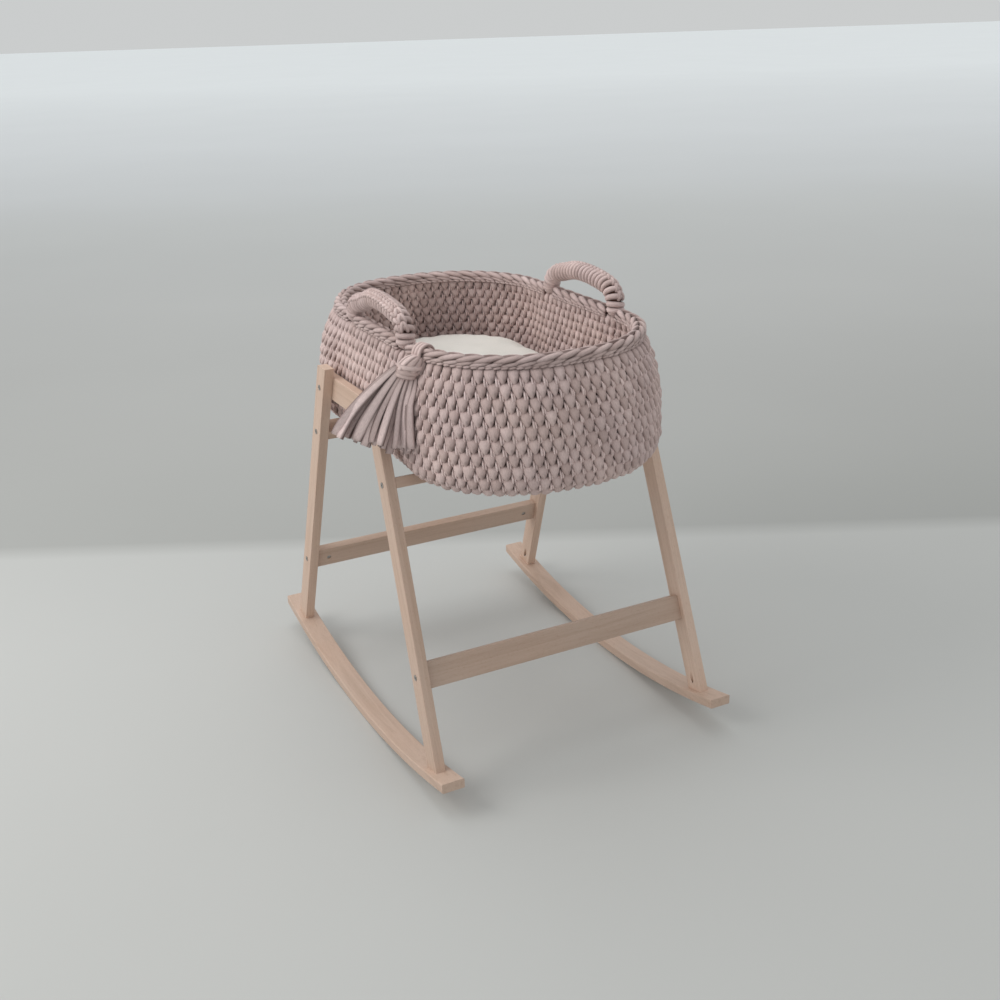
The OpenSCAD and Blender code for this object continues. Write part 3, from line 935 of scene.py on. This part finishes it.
TASSEL_TURN = math.radians(12)
corner = np.array([-(HALF_W - CORNER_R), BASKET_Y - (HALF_L - CORNER_R), 0.0])
outward = np.array([-math.cos(TASSEL_TURN), -math.sin(TASSEL_TURN), 0.0])
tangential = np.array([math.sin(TASSEL_TURN), -math.cos(TASSEL_TURN), 0.0])
head_low, head_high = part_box("tassel_head")
knot = np.array((head_low + head_high) / 2) / MM


def at_tassel(radial, along, z):
    """A point by its distance from the corner's centre, its distance along the rim and height."""
    return (
        corner
        + np.asarray(radial)[..., None] * outward
        + np.asarray(along)[..., None] * tangential
        + np.asarray(z)[..., None] * UPWARD
    )


loop_parts = []
phi = full_turn(28)
for offset in (-8.5, 0.0, 8.5):
    radial = CORNER_R + RIM_D + 17.5 * np.cos(phi)
    height = RIM_TOP - 12 + 15.5 * np.sin(phi)
    loop = at_tassel(radial, offset + 2.5 * np.cos(phi), height)[None]
    facing = unit(loop - at_tassel(CORNER_R + RIM_D, offset, RIM_TOP - 12))
    loop_parts.append(tubes(loop, facing, 4.4, 3.4, 10, closed=True))
loop = piece("tassel_loops", loop_parts, outer_yarn, "basket")
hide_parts("tassel_loop")

# The strands fan out sideways and backwards, and the knot leans the same way.
fan = unit(98 * outward - 63 * tangential)
fan_side = np.array([-fan[1], fan[0], 0.0])
lean = math.radians(34)
knot_axis = math.sin(lean) * fan - math.cos(lean) * UPWARD
knot_across = math.cos(lean) * fan + math.sin(lean) * UPWARD
knot_centre = knot + 2.0 * fan - 1.0 * UPWARD


def at_knot(along, across, proud):
    return (
        knot_centre
        + np.asarray(along)[..., None] * knot_axis
        + np.asarray(across)[..., None] * knot_across
        + np.asarray(proud)[..., None] * fan_side
    )


knot_parts = []
steps = np.linspace(-1, 1, 11)
for scale, lobes, offset in ((1.0, 9, 0.0), (0.74, 7, 0.22)):
    psi = np.linspace(0, 2 * math.pi, lobes, endpoint=False) + offset
    psi = psi + rng.normal(0, 0.06, lobes)
    girth = np.sqrt(np.clip(1.06 - steps**2, 0.05, 1)) * scale
    across = np.cos(psi)[:, None] * girth[None] * 17.0
    proud = np.sin(psi)[:, None] * girth[None] * 13.0
    along = steps[None] * 24.0 + 0 * across
    points = at_knot(along, across + 5.0 * steps[None], proud)
    facing = unit(points - at_knot(along * 0.4, 0 * across, 0 * proud))
    knot_parts.append(tubes(points, facing, 6.2 * np.clip(girth, 0.5, 1)[None], 4.8, 10, groove=0.3))
for along, tilt, girth in ((9.0, 0.42, 1.0), (16.0, 0.34, 0.92), (-2.0, 0.52, 1.06)):
    across = 17.5 * girth * np.cos(phi)
    proud = 14.5 * girth * np.sin(phi)
    ring = at_knot(along + tilt * across, across, proud)[None]
    facing = unit(ring - at_knot(along + 0 * phi, 0 * phi, 0 * phi))
    knot_parts.append(tubes(ring, facing, 4.8, 3.9, 10, closed=True, groove=0.3))
knot_piece = piece("tassel_knot", knot_parts, outer_yarn, "tassel")
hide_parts("tassel_head")

# Layers of strands, front to back: depth, number of strands, length and lightness, which is painted
# shade that deepens towards the back layers.
STRAND_LAYERS = (
    (14.0, 7, 0.95, 1.0),
    (7.0, 8, 0.99, 0.9),
    (0.0, 9, 1.01, 0.7),
    (-7.0, 10, 1.02, 0.5),
    (-13.0, 9, 0.99, 0.4),
)
# How far a strand's middle keeps from the wall, and how softly it is turned aside.
STRAND_GAP = 7.5
STRAND_EASE = 6.0


def clear_of_wall(points, amount):
    """Strand points moved outwards, by a share from 0 to 1, where they would enter the wall."""
    x, y, z = points[..., 0], points[..., 1], points[..., 2]
    round_corner = y < corner[1]
    radius = np.hypot(x - corner[0], y - corner[1])
    beyond = np.where(round_corner, radius - CORNER_R, -x - HALF_W)
    wall = np.interp(z, outer_skin.z[::-1], outer_skin.d[::-1])
    wall = wall + swelled(y) * np.interp(z, outer_skin.z[::-1], outer_skin.swell[::-1])
    need = wall + STRAND_GAP - beyond
    push = amount * (need + np.hypot(need, STRAND_EASE)) / 2
    push_x = np.where(round_corner, (x - corner[0]) / radius, -1.0)
    push_y = np.where(round_corner, (y - corner[1]) / radius, 0.0)
    return np.stack([x + push * push_x, y + push * push_y, z], -1)


strand_parts = []
for depth_offset, per_layer, length, lightness in STRAND_LAYERS:
    share = (np.arange(per_layer) + 0.5 + rng.uniform(-0.36, 0.36, per_layer)) / per_layer
    angle = np.radians(-1 + 48 * share)
    layer_depth = depth_offset + rng.uniform(-3.0, 3.0, per_layer)[:, None]
    reach = (126 + 36 * share) * length + rng.normal(0, 4.5, per_layer)
    steps = np.linspace(0, 1, 18)
    bend = angle[:, None] * (1.22 - 0.26 * steps[None])
    travel = steps[None] * reach[:, None]
    start = knot + (-9.0 + 36.0 * share)[:, None] * fan - (22.0 - 25.0 * share)[:, None] * UPWARD
    spread = 0.30 + 0.90 * steps[None] ** 0.8
    points = (
        start[:, None]
        + (travel * np.sin(bend))[..., None] * fan
        - (travel * np.cos(bend))[..., None] * UPWARD
        + (layer_depth * spread)[..., None] * fan_side
    )
    phase = rng.uniform(0, 6.28, (2, per_layer))[:, :, None]
    curl = rng.uniform(2.5, 6.0, per_layer)[:, None]
    sway = rng.uniform(2.0, 8.0, per_layer)[:, None] * steps[None] ** 1.4
    points = points + (sway * np.sin(curl * steps[None] + phase[0]))[..., None] * fan
    points = points + (sway * np.sin(curl * steps[None] + phase[1]))[..., None] * fan_side
    points = clear_of_wall(points, np.clip(3 * steps, 0, 1))
    twist = rng.uniform(-0.5, 0.5, per_layer)[:, None]
    twist = twist + steps[None] * rng.uniform(-0.9, 0.9, per_layer)[:, None]
    face = np.cos(twist)[..., None] * fan_side + np.sin(twist)[..., None] * fan
    half = np.interp(steps, [0, 0.2, 0.55, 0.85, 1], [3.0, 4.4, 6.0, 6.8, 6.4])[None]
    half = half * rng.uniform(0.5, 1.5, per_layer)[:, None]
    strand = tubes(points, face, half, 1.8 + half * 0.58, 12, groove=0.4)
    # Painted shade: strands darken towards the knot, in the back layers and on their flanks.
    knot_shade = np.clip(0.80 + 0.9 * steps, 0, 1)[None, :, None] * lightness
    strand["shade"] = (knot_shade * crevice_shade(12, 0.9) + np.zeros((per_layer, 1, 1))).ravel()
    strand["tone"] = strand["tone"] * 0.9 - 0.95
    strand_parts.append(strand)
skirt = piece("tassel_strands", strand_parts, outer_yarn, "tassel")
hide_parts("tassel_skirt")

# ---------------------------------------------------------------- mattress

cover_low, cover_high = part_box("mattress_cover")
PAD_INSET = HALF_W - cover_high.x / MM
PAD_Z = cover_low.z / MM
PAD_T = (cover_high.z - cover_low.z) / MM
PAD_HALF_W = 200.0
PAD_HALF_L = 364.0
CROWN = 7.0
DIMPLE = 1.8
# How far the cloth may swell, in metres, and in how many frames.
MAX_SWELL = 0.008
SWELL_FRAMES = 20
PIPING_LEVELS = (PAD_T - 17.0, 14.0)


def slab(name, inset, low, high, soften):
    """A closed slab in the mattress's outline, with its top and bottom edges eased."""
    around = 120
    t = np.arange(around) / around
    rows = []
    for z, extra in ((low, soften), (low + soften, 0), (high - soften, 0), (high, soften)):
        x, y, _, _ = outline(t, -PAD_INSET - inset - extra)
        rows.append(np.stack([x, y, np.full(around, z)], -1))
    grid = np.concatenate(rows)
    faces = [tuple(range(around))[::-1], tuple(range(3 * around, 4 * around))]
    for i in range(3):
        for j in range(around):
            k = (j + 1) % around
            faces.append((i * around + j, i * around + k, (i + 1) * around + k, (i + 1) * around + j))
    mesh = bpy.data.meshes.new(name)
    mesh.from_pydata((grid * MM).tolist(), [], faces)
    made = bpy.data.objects.new(name, mesh)
    bpy.context.scene.collection.objects.link(made)
    bpy.context.view_layer.objects.active = made
    return made


def apply_modifier(target, label, kind, **settings):
    modifier = target.modifiers.new(label, kind)
    for key, value in settings.items():
        setattr(modifier, key, value)
    bpy.ops.object.modifier_apply(modifier=modifier.name)


def vertex_positions(target):
    flat = np.empty(len(target.data.vertices) * 3, np.float32)
    target.data.vertices.foreach_get("co", flat)
    return flat.reshape(-1, 3).astype(float)


def mattress():
    """A padded slab, swelled by a short cloth simulation and crowned on top."""
    pad = slab("padded_mattress", 3.0, PAD_Z + 3, PAD_Z + PAD_T, 7.0)
    apply_modifier(pad, "even", "REMESH", mode="VOXEL", voxel_size=0.006)
    rest = vertex_positions(pad)
    cloth = pad.modifiers.new("swell", "CLOTH")
    cloth.settings.use_pressure = True
    cloth.settings.uniform_pressure_force = 4.0
    cloth.settings.effector_weights.gravity = 0.0
    for number in range(1, SWELL_FRAMES + 1):
        bpy.context.scene.frame_set(number)
    bpy.ops.object.modifier_apply(modifier=cloth.name)
    bpy.context.scene.frame_set(1)
    moved = vertex_positions(pad) - rest
    reach = np.linalg.norm(moved, axis=1, keepdims=True)
    rest = rest + moved * np.minimum(1, MAX_SWELL / np.maximum(reach, 1e-9))
    x, y = rest[:, 0] / MM, rest[:, 1] / MM - BASKET_Y
    edge = np.maximum(np.abs(x) / PAD_HALF_W, np.abs(y) / PAD_HALF_L)
    top = np.clip((rest[:, 2] / MM - PAD_Z - PAD_T * 0.55) / (PAD_T * 0.45), 0, 1)
    dimple = DIMPLE * np.sin(x / 46 + 0.6) * np.sin(y / 58 + 1.1)
    rest[:, 2] += MM * top * (CROWN * np.sqrt(np.clip(1 - edge**2, 0, 1)) + dimple)
    rest[:, 2] = np.maximum(rest[:, 2], (PAD_Z + 0.3) * MM)
    pad.data.vertices.foreach_set("co", rest.astype(np.float32).ravel())
    pad.data.update()
    apply_modifier(pad, "smooth", "SMOOTH", iterations=3)
    apply_modifier(pad, "fine", "SUBSURF", levels=1)
    pad.data.polygons.foreach_set("use_smooth", np.ones(len(pad.data.polygons), bool))
    return pad


cotton = woven_material("ivory_cotton", (0.83, 0.80, 0.75), (0.76, 0.725, 0.67), 420.0)
pad = mattress()
pad.data.materials.append(cotton)
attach(pad, "mattress")
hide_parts("mattress_cover")

# Piping lies on the pad along its upper and lower edges.
pad_surface = BVHTree.FromObject(pad, bpy.context.evaluated_depsgraph_get())
piping_parts = []
for level in PIPING_LEVELS:
    x, y, nx, ny = outline(np.arange(220) / 220, -PAD_INSET + 40)
    found = []
    for px, py, ax, ay in zip(x, y, nx, ny):
        start = Vector((px, py, PAD_Z + level)) * MM
        hit = pad_surface.ray_cast(start, Vector((-ax, -ay, 0)))[0]
        found.append(np.array(hit) / MM if hit else None)
    line = np.array([f for f in found if f is not None])[None]
    facing = unit(line - np.array([0.0, BASKET_Y, PAD_Z + level]))
    piping_parts.append(tubes(line, facing, 2.3, 2.1, 8, closed=True))
piece("mattress_piping", piping_parts, rope_material, "mattress")

foam = slab("foam_block", 18.0, PAD_Z + 12, PAD_Z + PAD_T - 14, 6.0)
foam.data.materials.append(woven_material("foam", (0.80, 0.76, 0.62), (0.62, 0.58, 0.45), 160.0))
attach(foam, "mattress")
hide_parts("mattress_foam")

# ---------------------------------------------------------------- stage

CAMERA_AT = (-1.04865, -2.20742, 1.37700)
CAMERA_YAW = math.radians(26.228)
CAMERA_PITCH = math.radians(-21.622)
CAMERA_ROLL = math.radians(-1.886)
CAMERA_LENS = 44.77
# Distance of the line on the floor from the origin, away from the camera, and how much further its
# tone and painted glow go on changing.
WALL_LINE = 0.70
WALL_DEPTH = 24.0
FLOOR_HALF = 400.0


def add_camera():
    data = bpy.data.cameras.new("camera")
    data.lens = CAMERA_LENS
    data.sensor_width = 36.0
    data.clip_start = 0.05
    data.clip_end = 60.0
    camera = bpy.data.objects.new("camera", data)
    level = math.cos(CAMERA_PITCH)
    ahead = (math.sin(CAMERA_YAW) * level, math.cos(CAMERA_YAW) * level, math.sin(CAMERA_PITCH))
    forward = Vector(ahead)
    right = forward.cross(Vector((0, 0, 1))).normalized()
    up = right.cross(forward)
    turned_right = right * math.cos(CAMERA_ROLL) + up * math.sin(CAMERA_ROLL)
    turned_up = -right * math.sin(CAMERA_ROLL) + up * math.cos(CAMERA_ROLL)
    camera.matrix_world = Matrix.Translation(CAMERA_AT) @ Matrix(
        (turned_right, turned_up, -forward)
    ).transposed().to_4x4()
    bpy.context.scene.collection.objects.link(camera)
    bpy.context.scene.camera = camera


def add_floor():
    """A pale floor; past a line behind the object it is painted as bright as a lit wall, with a thin
    darker strip along the line and a painted glow that grows with distance.
    """
    corners = [(-1, -1), (1, -1), (1, 1), (-1, 1)]
    mesh = bpy.data.meshes.new("floor")
    mesh.from_pydata([(x * FLOOR_HALF, y * FLOOR_HALF, 0) for x, y in corners], [], [(0, 1, 2, 3)])
    floor = bpy.data.objects.new("floor", mesh)
    floor.location.z = -0.0005
    bpy.context.scene.collection.objects.link(floor)
    material, tree, shader = new_material("painted_floor")
    link = tree.links.new
    place = node(tree, "ShaderNodeTexCoord")
    cloud = noise(tree, place.outputs["Object"], 0.7, 3.0)
    turned = node(tree, "ShaderNodeMapping")
    turned.inputs["Rotation"].default_value = (0, 0, CAMERA_YAW)
    link(place.outputs["Object"], turned.inputs[0])
    split = node(tree, "ShaderNodeSeparateXYZ")
    link(turned.outputs[0], split.inputs[0])
    far = node(tree, "ShaderNodeMapRange")
    far.inputs["From Min"].default_value = WALL_LINE
    far.inputs["From Max"].default_value = WALL_LINE + WALL_DEPTH
    link(split.outputs[1], far.inputs[0])
    paint = ramp(tree, cloud, [(0.3, (0.550, 0.555, 0.540)), (0.7, (0.570, 0.575, 0.560))])
    wall = ramp(
        tree,
        far.outputs[0],
        [(0.0, (1.0, 1.0, 1.0)), (0.0004, (0.70, 0.70, 0.69)), (0.002, (0.77, 0.77, 0.765))],
    )
    plain = mix_colours(tree, "MULTIPLY", 1.0, paint, wall)
    # Painted light: past the line the floor glows more with distance, standing in for a lit wall.
    glow = ramp(
        tree,
        far.outputs[0],
        [
            (0.0, (0.0, 0.0, 0.0)),
            (0.014, (0.012, 0.013, 0.012)),
            (0.046, (0.055, 0.055, 0.055)),
            (0.131, (0.150, 0.153, 0.155)),
            (0.24, (0.215, 0.225, 0.23)),
            (0.32, (0.27, 0.285, 0.30)),
            (0.475, (0.33, 0.35, 0.37)),
            (1.0, (0.42, 0.45, 0.47)),
        ],
    )
    link(plain, shader.inputs["Base Color"])
    link(glow, shader.inputs["Emission Color"])
    shader.inputs["Emission Strength"].default_value = 1.0
    shader.inputs["Roughness"].default_value = 0.75
    shader.inputs["Specular IOR Level"].default_value = 0.2
    mesh.materials.append(material)


def add_light(name, at, towards, size, power, colour=(1, 1, 1)):
    data = bpy.data.lights.new(name, "AREA")
    data.shape = "DISK"
    data.size = size
    data.energy = power
    data.color = colour
    light = bpy.data.objects.new(name, data)
    light.location = at
    aim = Vector(towards) - Vector(at)
    light.rotation_mode = "QUATERNION"
    light.rotation_quaternion = aim.to_track_quat("-Z", "Y")
    bpy.context.scene.collection.objects.link(light)


add_camera()
add_floor()
add_light("window", (-3.2, 0.6, 2.9), (0, 0, 0.5), 2.6, 60, (1.0, 0.985, 0.965))
add_light("sky", (-0.4, 1.1, 4.2), (0, 0, 0.3), 3.6, 36, (0.97, 0.985, 1.0))

world = bpy.data.worlds.new("studio")
world.use_nodes = True
world.node_tree.nodes["Background"].inputs["Color"].default_value = (0.93, 0.95, 0.95, 1)
world.node_tree.nodes["Background"].inputs["Strength"].default_value = 0.64
bpy.context.scene.world = world
bpy.context.scene.view_settings.view_transform = "Standard"

bpy.context.view_layer.update()
